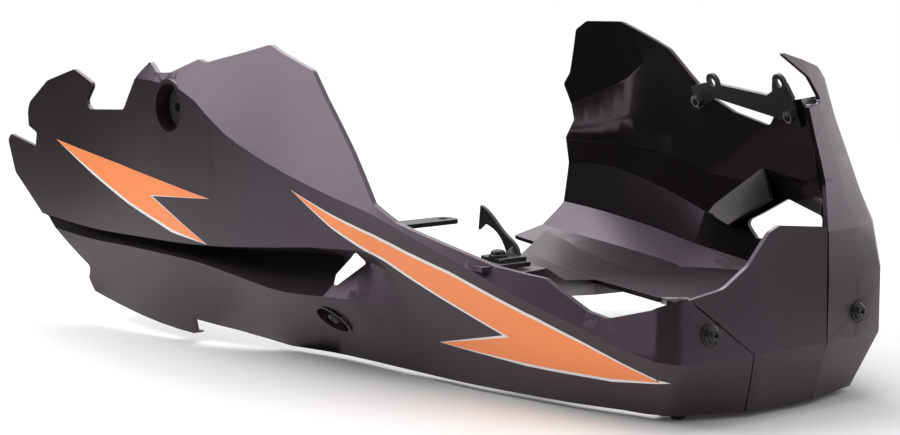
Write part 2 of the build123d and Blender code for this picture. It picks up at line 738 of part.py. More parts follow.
# Laps behind the side panels in front view, and the roots that join them to the centre
right_lap_outline = [
    (right_seam_bottom[0] + lap_root, -10), (right_seam_chin[0] + lap_root, chin_height + 2), (-62, 74),
    (-nose_lap_reach, 67), (-nose_lap_reach, 44), (-65, 24), (-65, -10),
]
right_root_outline = [
    (right_seam_bottom[0] + lap_inset, -10), (right_seam_bottom[0] + lap_inset, 0),
    (right_seam_chin[0] + lap_inset, chin_height), (-73, 73.5), (-64, 74),
    (right_seam_chin[0] + lap_root + lap_inset, chin_height + 4),
    (right_seam_bottom[0] + lap_root + lap_inset, -10),
]
left_lap_outline = [
    (left_seam_y - lap_root, -10), (65, -10), (65, 26), (nose_lap_reach, 42), (nose_lap_reach, 70), (44, 98),
    (left_seam_y - lap_root, 98),
]
left_root_outline = [
    (left_seam_y - lap_root - lap_inset, -10), (left_seam_y - lap_inset, -10), (left_seam_y - lap_inset, 98),
    (left_seam_y - lap_root - lap_inset, 98),
]
front_plane = Plane(origin=(0, 0, 0), x_dir=(0, 1, 0), z_dir=(1, 0, 0))
nose_clip_x = nose_screw_x + nose_screw_seat - wall - nose_lap_gap - nose_clip_seat
nose_clip_edge = nose_lap_reach - nose_screw_y
nose_clip_planes = [plane.offset(nose_clip_x - nose_screw_x) for plane in nose_screw_planes]
underside_clip_planes = [plane.offset(-wall - nose_lap_gap) for plane in underside_screw_planes]


def nose_layer(near, far, outline, radii=0):
    """Layer of the nose between two depths behind its face, cut to an outline in front view."""
    with BuildPart() as shell:
        loft(sections=[layer(upright_plane(rib.x, rib.y, rib.heading), nose_run(rib), near, far)
                       for rib in centre_ribs], ruled=True)
        add(outline_solid(front_plane, outline, radii, 120), mode=Mode.INTERSECT)
    return shell.part


with BuildPart() as nose_centre_panel:
    add(nose_layer(0, wall, centre_outline, centre_outline_radii))
    for root in (right_root_outline, left_root_outline):
        add(nose_layer(wall - lap_bond, wall + nose_lap_gap + lap_wall, root))
    for lap in (right_lap_outline, left_lap_outline):
        add(nose_layer(wall + nose_lap_gap, wall + nose_lap_gap + lap_wall, lap))
    for plane in nose_clip_planes:
        add(clip_seat(nose_clip_grip, nose_clip_edge).moved(plane.location), mode=Mode.SUBTRACT)
    for plane in underside_clip_planes:
        add(clip_seat(lap_wall, underside_clip_edge).moved(plane.location), mode=Mode.SUBTRACT)

# Screws, washers and clip nuts of the nose
with BuildPart() as nose_screws:
    for plane in nose_screw_planes:
        add(button_screw(nose_screw_length).moved(plane.offset(washer_thickness).location))
with BuildPart() as nose_washers:
    for plane in nose_screw_planes:
        add(washer(screw_hole, washer_dia, washer_thickness).moved(plane.location))
with BuildPart() as nose_clip_nuts:
    for plane in nose_clip_planes:
        add(clip_nut(nose_clip_grip, nose_clip_edge).moved(plane.location))
with BuildPart() as underside_screws:
    for plane in underside_screw_planes:
        add(button_screw(underside_screw_length).moved(plane.location))
with BuildPart() as underside_clip_nuts:
    for plane in underside_clip_planes:
        add(clip_nut(lap_wall, underside_clip_edge).moved(plane.location))

# Side screw in its dimple
dimple_floor = side_screw_plane.offset(-dimple_depth)
with BuildPart() as side_washer:
    add(washer(screw_hole, washer_dia, washer_thickness).moved(dimple_floor.location))
with BuildPart() as side_screw:
    add(button_screw(side_screw_length).moved(dimple_floor.offset(washer_thickness).location))
with BuildPart() as side_nut:
    add(hex_nut().moved(dimple_floor.offset(-wall).location))

# Rear mount grommet and sleeve
pocket_floor = rear_mount_plane.offset(-pocket_depth)
with BuildPart() as rear_mount_grommet:
    with BuildSketch(pocket_floor):
        Circle(grommet_flange_dia / 2)
    extrude(amount=grommet_flange)
    with BuildSketch(pocket_floor):
        Circle(grommet_hole / 2 - grommet_play)
    extrude(amount=-wall)
    with BuildSketch(pocket_floor.offset(-wall)):
        Circle(grommet_flange_dia / 2)
    extrude(amount=-grommet_flange)
    fillet(rear_mount_grommet.edges().filter_by(GeomType.CIRCLE).filter_by(
        lambda edge: edge.radius == grommet_flange_dia / 2), radius=grommet_flange / 3)
    with BuildSketch(pocket_floor.offset(grommet_flange)):
        Circle(grommet_bore / 2)
    extrude(amount=-wall - 2 * grommet_flange, mode=Mode.SUBTRACT)
with BuildPart() as rear_mount_sleeve:
    with BuildSketch(pocket_floor.offset(-wall - grommet_flange)):
        Circle(sleeve_dia / 2)
    extrude(amount=wall + 2 * grommet_flange)
    with BuildSketch(pocket_floor.offset(grommet_flange)):
        Circle(sleeve_flange_dia / 2)
    extrude(amount=sleeve_flange)
    with BuildSketch(pocket_floor.offset(grommet_flange + sleeve_flange)):
        Circle(sleeve_bore / 2)
    extrude(amount=-wall - 3 * grommet_flange, mode=Mode.SUBTRACT)

# Stay bracket and its screw
with BuildPart() as stay_bracket:
    with BuildSketch(Plane(origin=(-stay_back, 0, stay_height), x_dir=(0, 1, 0), z_dir=(1, 0, 0))):
        with BuildLine():
            Polyline((-stay_boss_inner, -stay_sheet), (-stay_reach, -stay_sheet), (-stay_reach, 0),
                     (-stay_boss_inner + stay_sheet, 0), (-stay_boss_inner + stay_sheet, stay_flange),
                     (-stay_boss_inner, stay_flange), close=True)
        make_face()
    extrude(amount=stay_width / 2, both=True)
    with BuildSketch(stay_face):
        Circle(screw_hole / 2)
    extrude(amount=stay_sheet, mode=Mode.SUBTRACT)
    with BuildSketch(Plane(origin=(-stay_back, -stay_reach - stay_width / 2, stay_height))):
        Circle(stay_hole / 2)
    extrude(amount=-stay_sheet, mode=Mode.SUBTRACT)
    fillet(stay_bracket.edges().filter_by(Axis.Z).group_by(Axis.Y)[-1], radius=stay_width / 3)
with BuildPart() as stay_screw:
    add(button_screw(stay_screw_length).moved(stay_face.offset(stay_sheet).location))

# Hook bracket, its screw and its clip nut
hook_top = joint_plane.offset(hook_sheet)
with BuildPart() as hook_bracket:
    with BuildSketch(joint_plane):
        with Locations((0, hook_foot_out - hook_foot / 2)):
            RectangleRounded(hook_foot, hook_foot, 3)
        Circle(screw_hole / 2, mode=Mode.SUBTRACT)
    extrude(amount=hook_sheet)
    hook_y = -joint_out - hook_foot_out + hook_foot
    with BuildSketch(Plane(origin=(-joint_back, hook_y, joint_plane.origin.Z), x_dir=(-1, 0, 0),
                           z_dir=(0, 1, 0))):
        with BuildLine():
            neck = Spline((-hook_width / 2, 0), (hook_width, hook_rise * 0.45), (hook_lean, hook_rise),
                          tangents=((0, 1), (1, 0.3)))
            tip = Polyline(neck @ 1, (hook_lean + 2, hook_rise - hook_width * 2),
                           (hook_lean - hook_width / 2, hook_rise - hook_width * 1.4))
            throat = Spline(tip @ 1, (hook_width * 1.8, hook_rise * 0.4), (hook_width / 2 + 3, 0))
            Line(throat @ 1, neck @ 0)
        make_face()
    extrude(amount=-hook_sheet)
with BuildPart() as hook_screw:
    add(button_screw(hook_screw_length).moved(hook_top.location))
with BuildPart() as hook_clip_nut:
    arm_top = Plane(origin=(-joint_back, -joint_out, arm_underside + wall), x_dir=(0, -1, 0), z_dir=(0, 0, 1))
    add(clip_nut(wall, hook_clip_edge).moved(arm_top.location))

# Clip nut of the tray, free for a mounting screw
with BuildPart() as tray_clip_nut:
    add(clip_nut(tray_clip_grip, tray_clip_edge, screw_dia).moved(tray_clip_plane.location))

# Front mount bracket on the inside of the upper left wall
bar_face = bar_plane.offset(-wall)
with BuildPart() as front_mount_bracket:
    with BuildSketch(bar_face):
        with BuildLine():
            Polyline((1, 11), (27, 16), (92, 25), (bar_length, 13), (bar_length, 32), (99, 36), (84, 36),
                     (30, 32), (22, 36), (4, 34), (1, 26), close=True)
        make_face()
        for ear, foot in ((front_ear, 1.7), (rear_ear, 1.2)):
            with Locations(ear):
                Circle(ear_radius)
                with Locations((0, -ear_radius * 0.8)):
                    Trapezoid(2 * ear_radius * foot, 1.6 * ear_radius, 70)
        with Locations(front_ear, rear_ear):
            Circle(ear_hole / 2, mode=Mode.SUBTRACT)
        with Locations(bar_front_screw, bar_rear_screw):
            Circle(screw_hole / 2, mode=Mode.SUBTRACT)
    extrude(amount=-bar_sheet)
with BuildPart() as front_bracket_screws:
    for across, up in (bar_front_screw, bar_rear_screw):
        add(button_screw(bar_screw_length).moved(bar_plane.location * Location((across, up, bar_screw_play))))
with BuildPart() as front_bracket_nuts:
    for across, up in (bar_front_screw, bar_rear_screw):
        add(hex_nut().moved(bar_face.offset(-bar_sheet).location * Location((across, up, 0))))

# Everything stands on the middle of its underside
pieces = {
    "right_side_panel": right_side_panel, "left_side_panel": left_side_panel,
    "nose_centre_panel": nose_centre_panel,
    "nose_screws": nose_screws, "nose_washers": nose_washers, "nose_clip_nuts": nose_clip_nuts,
    "underside_screws": underside_screws, "underside_clip_nuts": underside_clip_nuts,
    "side_screw": side_screw, "side_washer": side_washer, "side_nut": side_nut,
    "rear_mount_grommet": rear_mount_grommet, "rear_mount_sleeve": rear_mount_sleeve,
    "stay_bracket": stay_bracket, "stay_screw": stay_screw,
    "hook_bracket": hook_bracket, "hook_screw": hook_screw, "hook_clip_nut": hook_clip_nut,
    "tray_clip_nut": tray_clip_nut,
    "front_mount_bracket": front_mount_bracket, "front_bracket_screws": front_bracket_screws,
    "front_bracket_nuts": front_bracket_nuts,
}
box = Compound([piece.part for piece in pieces.values()]).bounding_box()
to_origin = Location((-box.center().X, -box.center().Y, -box.min.Z))
print("moved by", to_origin.position)

os.makedirs("parts", exist_ok=True)
for name, piece in pieces.items():
    piece.part = piece.part.moved(to_origin)
    piece.part.label = name
    export_step(piece.part, f"parts/{name}.step")
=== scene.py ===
"""Looks of a motorcycle belly pan: mouldings, slash stickers, hardware finishes and a white studio."""

import json
import math
from collections import Counter

import bpy
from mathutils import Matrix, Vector, kdtree

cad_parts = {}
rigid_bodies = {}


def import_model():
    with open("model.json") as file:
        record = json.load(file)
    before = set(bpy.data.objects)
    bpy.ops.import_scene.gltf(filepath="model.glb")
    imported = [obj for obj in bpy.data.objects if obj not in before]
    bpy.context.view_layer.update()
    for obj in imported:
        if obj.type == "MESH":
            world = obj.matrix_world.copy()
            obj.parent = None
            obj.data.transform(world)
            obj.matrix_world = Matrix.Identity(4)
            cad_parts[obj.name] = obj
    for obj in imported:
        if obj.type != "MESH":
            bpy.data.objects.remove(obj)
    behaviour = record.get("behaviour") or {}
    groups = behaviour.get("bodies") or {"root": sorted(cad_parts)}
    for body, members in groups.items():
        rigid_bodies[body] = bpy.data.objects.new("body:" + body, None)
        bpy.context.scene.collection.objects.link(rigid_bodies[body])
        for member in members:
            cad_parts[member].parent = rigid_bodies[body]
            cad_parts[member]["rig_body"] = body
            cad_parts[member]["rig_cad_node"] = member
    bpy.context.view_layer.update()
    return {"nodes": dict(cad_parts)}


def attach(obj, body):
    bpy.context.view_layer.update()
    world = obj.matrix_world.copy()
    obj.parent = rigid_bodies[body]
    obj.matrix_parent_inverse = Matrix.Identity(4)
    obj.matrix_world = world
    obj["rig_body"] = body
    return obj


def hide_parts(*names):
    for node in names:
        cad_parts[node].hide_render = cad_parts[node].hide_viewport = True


bl_info = {
    "name": "Motorcycle Belly Pan",
    "version": (1, 0, 0),
    "blender": (4, 5, 0),
    "location": "View3D > Sidebar > Belly Pan",
    "description": "Dresses the belly pan's solids with mouldings, stickers, hardware finishes and a studio",
    "category": "Object",
}

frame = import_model()
MM = 0.001
WELD = 0.01 * MM  # points closer than this become one

# Slash stickers in side view, as millimetres ahead of and above the frame's origin
REAR_SLASH = [
    (-252, 132.5), (-186, 114.5), (-126, 98), (-66, 84.5), (-24, 79.5), (-97, 106), (-20, 111), (-55, 115),
    (-140, 124),
]
REAR_PLAIN = (0, 7, 8)  # points of the rear slash's top edge, which has no border
FRONT_SLASH = [
    (72, 125), (137, 88), (232, 46), (165, 32.5), (234, 29), (295, 27.5), (331, 30.2), (260, 60.5), (200, 83),
    (141, 99),
]
FILM_PLANE = -0.3  # Y at which a film is cut, well outside the long panel
FILM_ANGLE = math.radians(30)
BORDER_LIFT, FILL_LIFT = 1.5, 3.0  # outer faces of the two layers above the panel, in thicknesses of film
POINT_REACH = 4.0  # longest point of a border, in border widths
LEAST_BEND = 0.05  # keeps the reach at a needle point finite

# Stretch of the long panel that holds the gill's groove, in metres
GROOVE_BACK, GROOVE_FRONT = -0.31, 0.09
GROOVE_LOW, GROOVE_HIGH = 0.04, 0.112

# Finishes of a moulding, by material index; the recess finish is a darker black that paints shade into the
# gill's groove
SATIN, GLOSS, RECESS_SHADE = range(3)

# Way from the outside of each moulding to its inside
RIGHT_INWARD = Vector((-0.2, 0.95, 0.1))
LEFT_INWARD = Vector((-0.5, -0.85, 0.3)).normalized()
NOSE_INWARD = Vector((-1, 0, 0))

# Part of a face's normal that points some way, from which the face counts as looking that way
INWARD_FACING = 0.25
RIGHT_FACING = 0.4
LEFT_FACING = 0.3
FRONT_FACING = 0.5
INNER_WALL_FACING = 0.35
LEVEL_FACING = 0.8
GROOVE_FLOOR_FACING = 0.3
GROOVE_ROOF_FACING = 0.75

# How alike two normals are, as a cosine, from which their faces are shaded as one
FLAP_LIKENESS = 0.6
FLANK_LIKENESS = 0.9
LEFT_LIKENESS = 0.85

# Climb of an edge, as a share of its length, up to which it may stay sharp
ANY_CLIMB = 2.0
LINE_CLIMB = 0.5
CREASE_RUN = 0.6  # share of an inner crease's length that runs along the pan
CREASE_SEGMENTS = 3

HARDWARE_ANGLE = math.radians(32)
FINE_GRAIN, BROAD_GRAIN = 900.0, 9.0  # scales of the grain's two noises
GRAIN_DEPTH = 0.3 * MM

# Lamps: name, place, width and height in metres, power in watts
LAMPS = (
    ("side_lamp", (-0.76, -1.18, 1.42), 1.3, 0.75, 15),
    ("far_lamp", (0.5, 1.8, 0.6), 1.2, 0.8, 4.5),
    ("back_lamp", (-1.08, 0.63, 1.4), 1.0, 0.7, 12),
    ("top_lamp", (0.0, 0.0, 1.7), 1.4, 1.4, 10),
)
AIM = Vector((0, 0, 0.1))  # what the lamps look at

# Dark cards: one behind the camera, one upright beside the pan, the others flat on the floor
CAMERA_CARD_AWAY, CAMERA_CARD_RISE, CAMERA_CARD_SIZE = 2.4, 0.7, 3.4
SIDE_CARD_PLACE = Vector((-1.04, -0.78, 0.48))
SIDE_CARD_WIDTH, SIDE_CARD_HEIGHT = 1.9, 0.95
FLOOR_CARD_LIFT = 0.002
FLOOR_CARDS = (  # name, place on the floor, length and width in metres
    ("left_flag", (-1.0, -0.45), 0.7, 0.5),
    ("inner_flag", (-0.34, 0.0), 0.76, 0.22),
    ("wall_flag", (-0.4, -0.155), 0.3, 0.09),
    ("front_flag", (1.2, -0.3), 1.4, 2.4),
)

FLOOR_SIDES = 96
FLOOR_TONE = 0.97  # share of the paper's colour that the floor gives back
FADE_START, FADE_END = 0.35, 0.95  # where the floor fades out, as shares of its radius
CLIP_START = 0.05


class MouldingSettings(bpy.types.PropertyGroup):
    """Finish of the three black mouldings."""

    outer_colour: bpy.props.FloatVectorProperty(
        name="Outer Colour", description="Satin black of the outside", subtype="COLOR", size=3,
        min=0.0, max=1.0, default=(0.0095, 0.0066, 0.009))
    outer_roughness: bpy.props.FloatProperty(
        name="Outer Roughness", description="How dull the outside is", min=0.0, max=1.0, default=0.39)
    inner_colour: bpy.props.FloatVectorProperty(
        name="Inner Colour", description="Gloss black of the inside", subtype="COLOR", size=3,
        min=0.0, max=1.0, default=(0.006, 0.0052, 0.0066))
    inner_roughness: bpy.props.FloatProperty(
        name="Inner Roughness", description="How dull the inside is", min=0.0, max=1.0, default=0.11)
    # Recess colour: a rougher black whose darker colour is painted shade in the deep gill groove
    recess_shade_colour: bpy.props.FloatVectorProperty(
        name="Recess Colour", description="Unpolished black of the gill's groove", subtype="COLOR", size=3,
        min=0.0, max=1.0, default=(0.0035, 0.0028, 0.0036))
    sheen_tint: bpy.props.FloatVectorProperty(
        name="Sheen Tint", description="Plum cast of the moulding's reflections", subtype="COLOR", size=3,
        min=0.0, max=1.0, default=(1.0, 0.79, 0.95))
    broad_face: bpy.props.FloatProperty(
        name="Broad Face", description="Area from which a face is smoothed with those around it", unit="AREA",
        default=10 * MM * MM)
    even_reach: bpy.props.FloatProperty(
        name="Even Reach", description="How far around a face its shading is averaged", subtype="DISTANCE",
        unit="LENGTH", default=75 * MM)
    flap_lean: bpy.props.FloatProperty(
        name="Flap Lean", description="Upward part of a normal from which a face is the flap's", default=0.16)
    flap_foot: bpy.props.FloatProperty(
        name="Flap Foot", description="Height above which the flap begins", subtype="DISTANCE", unit="LENGTH",
        default=118 * MM)
    crease_round: bpy.props.FloatProperty(
        name="Crease Round", description="Width of the rounding along the inner creases", subtype="DISTANCE",
        unit="LENGTH", default=2.0 * MM)
    crease_length: bpy.props.FloatProperty(
        name="Crease Length", description="Shortest edge that is rounded as a part of a crease",
        subtype="DISTANCE", unit="LENGTH", default=6.0 * MM)
    crease_angle: bpy.props.FloatProperty(
        name="Crease Angle", description="Lines along the pan that are sharper than this stay sharp",
        subtype="ANGLE", default=math.radians(13))
    rim_angle: bpy.props.FloatProperty(
        name="Rim Angle", description="All edges that are sharper than this stay sharp", subtype="ANGLE",
        default=math.radians(48))


class StickerSettings(bpy.types.PropertyGroup):
    """Sizes and colours of the slash stickers."""

    orange: bpy.props.FloatVectorProperty(
        name="Orange", description="Colour of the slashes", subtype="COLOR", size=3, min=0.0, max=1.0,
        default=(0.93, 0.27, 0.085))
    white: bpy.props.FloatVectorProperty(
        name="White", description="Colour of the border", subtype="COLOR", size=3, min=0.0, max=1.0,
        default=(0.8, 0.79, 0.77))
    border: bpy.props.FloatProperty(
        name="Border", description="Width of the white border", subtype="DISTANCE", unit="LENGTH",
        default=2.2 * MM)
    film: bpy.props.FloatProperty(
        name="Film", description="Thickness of one layer of film", subtype="DISTANCE", unit="LENGTH",
        default=0.15 * MM)
    step: bpy.props.FloatProperty(
        name="Step", description="Spacing of the film's mesh", subtype="DISTANCE", unit="LENGTH",
        default=3.0 * MM)


class HardwareSettings(bpy.types.PropertyGroup):
    """Colours of the metal and rubber pieces."""

    screw_colour: bpy.props.FloatVectorProperty(
        name="Screw Colour", description="Black oxide of the screws", subtype="COLOR", size=3, min=0.0,
        max=1.0, default=(0.03, 0.029, 0.031))
    zinc_colour: bpy.props.FloatVectorProperty(
        name="Zinc Colour", description="Plating of the clip nuts", subtype="COLOR", size=3, min=0.0,
        max=1.0, default=(0.66, 0.64, 0.6))
    bracket_colour: bpy.props.FloatVectorProperty(
        name="Bracket Colour", description="Powder coat of the brackets", subtype="COLOR", size=3, min=0.0,
        max=1.0, default=(0.012, 0.012, 0.0125))
    rubber_colour: bpy.props.FloatVectorProperty(
        name="Rubber Colour", description="Rubber of the rear grommet", subtype="COLOR", size=3, min=0.0,
        max=1.0, default=(0.012, 0.012, 0.012))


class StageSettings(bpy.types.PropertyGroup):
    """Camera, world light and floor."""

    azimuth: bpy.props.FloatProperty(
        name="Azimuth", description="Where the camera stands round the pan", subtype="ANGLE",
        default=math.radians(52))
    elevation: bpy.props.FloatProperty(
        name="Elevation", description="How high the camera stands", subtype="ANGLE",
        default=math.radians(8))
    camera_place: bpy.props.FloatVectorProperty(
        name="Camera Place", description="Place of the camera", subtype="XYZ", unit="LENGTH", size=3,
        default=(1.2608, -0.957, 0.3082))
    lens: bpy.props.FloatProperty(
        name="Lens", description="Focal length of the camera", subtype="DISTANCE_CAMERA", default=88.0)
    floor_radius: bpy.props.FloatProperty(
        name="Floor Radius", description="How far the white floor reaches", subtype="DISTANCE",
        unit="LENGTH", default=1.6)
    paper: bpy.props.FloatVectorProperty(
        name="Paper", description="Colour of the floor and the background", subtype="COLOR", size=3,
        min=0.0, max=1.0, default=(1.0, 1.0, 1.0))
    soft_light: bpy.props.FloatProperty(
        name="Soft Light", description="Strength of the world's light on the pan", min=0.0, default=0.55)


def deselect():
    """Leave edit mode with nothing selected."""
    if bpy.context.mode != "OBJECT":
        bpy.ops.object.mode_set(mode="OBJECT")
    bpy.ops.object.select_all(action="DESELECT")


def pick(obj):
    """Select one object and make it active."""
    deselect()
    obj.select_set(True)
    bpy.context.view_layer.objects.active = obj


def copy_of_node(node, name):
    """Merged copy of a solid, to carry a finish in its place."""
    pick(frame["nodes"][node])
    bpy.ops.object.duplicate()
    copy = bpy.context.view_layer.objects.active
    bpy.ops.object.parent_clear(type="CLEAR_KEEP_TRANSFORM")
    copy.name = name
    copy.data.name = name
    for key in ("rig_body", "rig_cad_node"):  # the copy is no solid of the frame
        del copy[key]
    copy.data.materials.clear()
    bpy.ops.object.mode_set(mode="EDIT")
    bpy.ops.mesh.select_all(action="SELECT")
    bpy.ops.mesh.remove_doubles(threshold=WELD)
    bpy.ops.object.mode_set(mode="OBJECT")
    return copy


def weigh_normals(obj):
    """Let the larger faces rule the shading, and keep the sharp edges."""
    weigh = obj.modifiers.new("large faces first", "WEIGHTED_NORMAL")
    weigh.keep_sharp = True
    bpy.ops.object.modifier_apply(modifier=weigh.name)


def shade(obj, angle):
    """Smooth shading that keeps the edges sharper than the angle."""
    pick(obj)
    bpy.ops.object.shade_smooth_by_angle(angle=angle)
    weigh_normals(obj)


def select_sharp_edges(angle):
    """Select the active object's edges that are sharper than an angle."""
    bpy.ops.object.mode_set(mode="EDIT")
    bpy.ops.mesh.select_mode(type="EDGE")
    bpy.ops.mesh.select_all(action="DESELECT")
    bpy.ops.mesh.edges_select_sharp(sharpness=angle)
    bpy.ops.object.mode_set(mode="OBJECT")


def keep_sharp(shell, angle, steepest):
    """Mark the edges sharper than an angle, but none that climbs more steeply than the given share."""
    select_sharp_edges(angle)
    for edge in shell.data.edges:
        start, end = (shell.data.vertices[index].co for index in edge.vertices)
        if abs(end.z - start.z) > steepest * (end - start).length:
            edge.select = False
    bpy.ops.object.mode_set(mode="EDIT")
    bpy.ops.mesh.mark_sharp()
    bpy.ops.mesh.select_mode(type="VERT")
    bpy.ops.object.mode_set(mode="OBJECT")


def shade_moulding(shell):
    """Smooth shading round the moulding that keeps its rims and the creases along it."""
    moulding = bpy.context.scene.pan_moulding
    pick(shell)
    bpy.ops.object.shade_smooth()
    keep_sharp(shell, moulding.rim_angle, ANY_CLIMB)
    keep_sharp(shell, moulding.crease_angle, LINE_CLIMB)
    weigh_normals(shell)


def even_out(shell, chosen, least):
    """Average the normals of chosen faces that are alike, to hide the shallow waves between ribs."""
    moulding = bpy.context.scene.pan_moulding
    faces = shell.data.polygons
    broad = [face for face in faces if face.area > moulding.broad_face and chosen(face)]
    tree = kdtree.KDTree(len(broad))
    for face in broad:
        tree.insert(face.center, face.index)
    tree.balance()
    normals = [corner.vector.copy() for corner in shell.data.corner_normals]
    for face in broad:
        for corner in face.loop_indices:
            here = shell.data.vertices[shell.data.loops[corner].vertex_index].co
            total = normals[corner] * face.area
            for _, index, away in tree.find_range(here, moulding.even_reach):
                likeness = faces[index].normal.dot(normals[corner]) - least
                if likeness > 0:
                    share = likeness * (1 - away / moulding.even_reach) / (1 - least)
                    total += faces[index].normal * faces[index].area * share
            normals[corner] = total.normalized()
    shell.data.normals_split_custom_set(normals)


def on_flap(face):
    """Whether a face of the long panel belongs to the outside of the leaning flap above its fold."""
    moulding = bpy.context.scene.pan_moulding
    leaning = face.normal.z > moulding.flap_lean and face.center.z > moulding.flap_foot
    return face.normal.y < -RIGHT_FACING and leaning


def on_flank(face):
    """Whether a face of the long panel belongs to the rest of its outside."""
    return face.normal.y < -RIGHT_FACING and not on_flap(face)


def on_left_outside(face):
    """Whether a face of the short panel looks to the left or ahead."""
    return face.normal.y > LEFT_FACING or face.normal.x > FRONT_FACING


def new_material(name):
    """Node material and its principled shader."""
    material = bpy.data.materials.new(name)
    material.use_nodes = True
    return material, material.node_tree.nodes["Principled BSDF"]


def grain_group():
    """Shared grain: a fine height and a broad, slow variation, both from object coordinates."""
    if "Moulding Grain" in bpy.data.node_groups:
        return bpy.data.node_groups["Moulding Grain"]
    group = bpy.data.node_groups.new("Moulding Grain", "ShaderNodeTree")
    for name, value in (("Fine Scale", FINE_GRAIN), ("Broad Scale", BROAD_GRAIN)):
        socket = group.interface.new_socket(name, in_out="INPUT", socket_type="NodeSocketFloat")
        socket.default_value = value
    group.interface.new_socket("Height", in_out="OUTPUT", socket_type="NodeSocketFloat")
    group.interface.new_socket("Broad", in_out="OUTPUT", socket_type="NodeSocketFloat")
    nodes, links = group.nodes, group.links
    inputs = nodes.new("NodeGroupInput")
    outputs = nodes.new("NodeGroupOutput")
    place = nodes.new("ShaderNodeTexCoord")
    fine = nodes.new("ShaderNodeTexNoise")
    fine.inputs["Detail"].default_value = 3.0
    broad = nodes.new("ShaderNodeTexNoise")
    broad.inputs["Detail"].default_value = 4.0
    for noise, scale in ((fine, "Fine Scale"), (broad, "Broad Scale")):
        links.new(place.outputs["Object"], noise.inputs["Vector"])
        links.new(inputs.outputs[scale], noise.inputs["Scale"])
    links.new(fine.outputs["Fac"], outputs.inputs["Height"])
    links.new(broad.outputs["Fac"], outputs.inputs["Broad"])
    return group


def grained_material(name, colour, roughness, metallic=0.0, fine=FINE_GRAIN, bump=0.06, spread=0.35,
                     swing=0.05, sheen_tint=(1, 1, 1), gloss=0.5):
    """Finish with a grain of scale fine and strength bump.

    Over the surface the colour drifts by the share spread, and the roughness by swing.
    """
    if name in bpy.data.materials:
        return bpy.data.materials[name]
    material, shader = new_material(name)
    nodes, links = material.node_tree.nodes, material.node_tree.links
    shader.inputs["Metallic"].default_value = metallic
    shader.inputs["Specular Tint"].default_value = (*sheen_tint, 1)
    shader.inputs["Specular IOR Level"].default_value = gloss
    grain = nodes.new("ShaderNodeGroup")
    grain.node_tree = grain_group()
    grain.inputs["Fine Scale"].default_value = fine
    tint = nodes.new("ShaderNodeMix")
    tint.data_type = "RGBA"
    links.new(grain.outputs["Broad"], tint.inputs["Factor"])
    tint.inputs["A"].default_value = (*(c * (1 - spread) for c in colour), 1)
    tint.inputs["B"].default_value = (*(min(1.0, c * (1 + spread)) for c in colour), 1)
    links.new(tint.outputs["Result"], shader.inputs["Base Color"])
    dull = nodes.new("ShaderNodeMapRange")
    dull.inputs["To Min"].default_value = roughness - swing
    dull.inputs["To Max"].default_value = roughness + swing
    links.new(grain.outputs["Broad"], dull.inputs["Value"])
    links.new(dull.outputs["Result"], shader.inputs["Roughness"])
    bumps = nodes.new("ShaderNodeBump")
    bumps.inputs["Strength"].default_value = bump
    bumps.inputs["Distance"].default_value = GRAIN_DEPTH
    links.new(grain.outputs["Height"], bumps.inputs["Height"])
    links.new(bumps.outputs["Normal"], shader.inputs["Normal"])
    return material


def satin_black():
    """Finish of the mouldings' outside and of the tray."""
    moulding = bpy.context.scene.pan_moulding
    return grained_material("Satin Black", moulding.outer_colour, moulding.outer_roughness, bump=0.12,
                            sheen_tint=moulding.sheen_tint, gloss=0.75)


def gloss_black():
    """Finish of the mouldings' inside."""
    moulding = bpy.context.scene.pan_moulding
    return grained_material("Gloss Black", moulding.inner_colour, moulding.inner_roughness, fine=60.0,
                            bump=0.05, sheen_tint=moulding.sheen_tint)


def gill_shade_material():
    """Rougher finish of the gill's groove, with a darker colour that is painted shade."""
    moulding = bpy.context.scene.pan_moulding
    return grained_material("Gill Painted Shade", moulding.recess_shade_colour, roughness=0.6, bump=0.15,
                            sheen_tint=moulding.sheen_tint, gloss=0.15)


def round_creases(shell):
    """Round the long creases of the left panel's inner wall, which catch thin lines of light."""
    moulding = bpy.context.scene.pan_moulding
    pick(shell)
    select_sharp_edges(moulding.crease_angle)
    mesh = shell.data
    inner_faces_at = Counter()
    for face in mesh.polygons:
        if face.normal.y < -INNER_WALL_FACING and face.normal.z < LEVEL_FACING:
            inner_faces_at.update(face.edge_keys)
    for edge in mesh.edges:
        start, end = (mesh.vertices[index].co for index in edge.vertices)
        along = end - start
        long_crease = along.length > moulding.crease_length and abs(along.x) > CREASE_RUN * along.length
        edge.select = edge.select and long_crease and inner_faces_at[edge.key] == 2
    bpy.ops.object.mode_set(mode="EDIT")
    bpy.ops.mesh.bevel(offset=moulding.crease_round, segments=CREASE_SEGMENTS, affect="EDGES",
                       clamp_overlap=True)
    bpy.ops.mesh.select_mode(type="VERT")
    bpy.ops.object.mode_set(mode="OBJECT")


def dress_moulding(node, name, inward, reshape=None):
    """Moulding with a satin outside and a gloss inside. reshape may change the copy before it is shaded."""
    shell = copy_of_node(node, name)
    if reshape:
        reshape(shell)
    shell.data.materials.append(satin_black())
    shell.data.materials.append(gloss_black())
    for face in shell.data.polygons:
        inside = face.normal.dot(inward) > INWARD_FACING and face.normal.z < LEVEL_FACING
        face.material_index = GLOSS if inside else SATIN
    shade_moulding(shell)
    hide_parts(node)
    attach(shell, "root")
    return shell


def paint_gill_shade(shell):
    """Painted shade in the groove that leads to the gill vent: its floor and roof get a darker, rougher
    black.
    """
    shell.data.materials.append(gill_shade_material())
    for face in shell.data.polygons:
        ahead, height = face.center.x, face.center.z
        in_groove = GROOVE_BACK < ahead < GROOVE_FRONT and GROOVE_LOW < height < GROOVE_HIGH
        floor_or_roof = face.normal.z > GROOVE_FLOOR_FACING or face.normal.z < -GROOVE_ROOF_FACING
        # groove faces get the darker black as painted shade
        if in_groove and floor_or_roof and face.material_index == SATIN:
            face.material_index = RECESS_SHADE


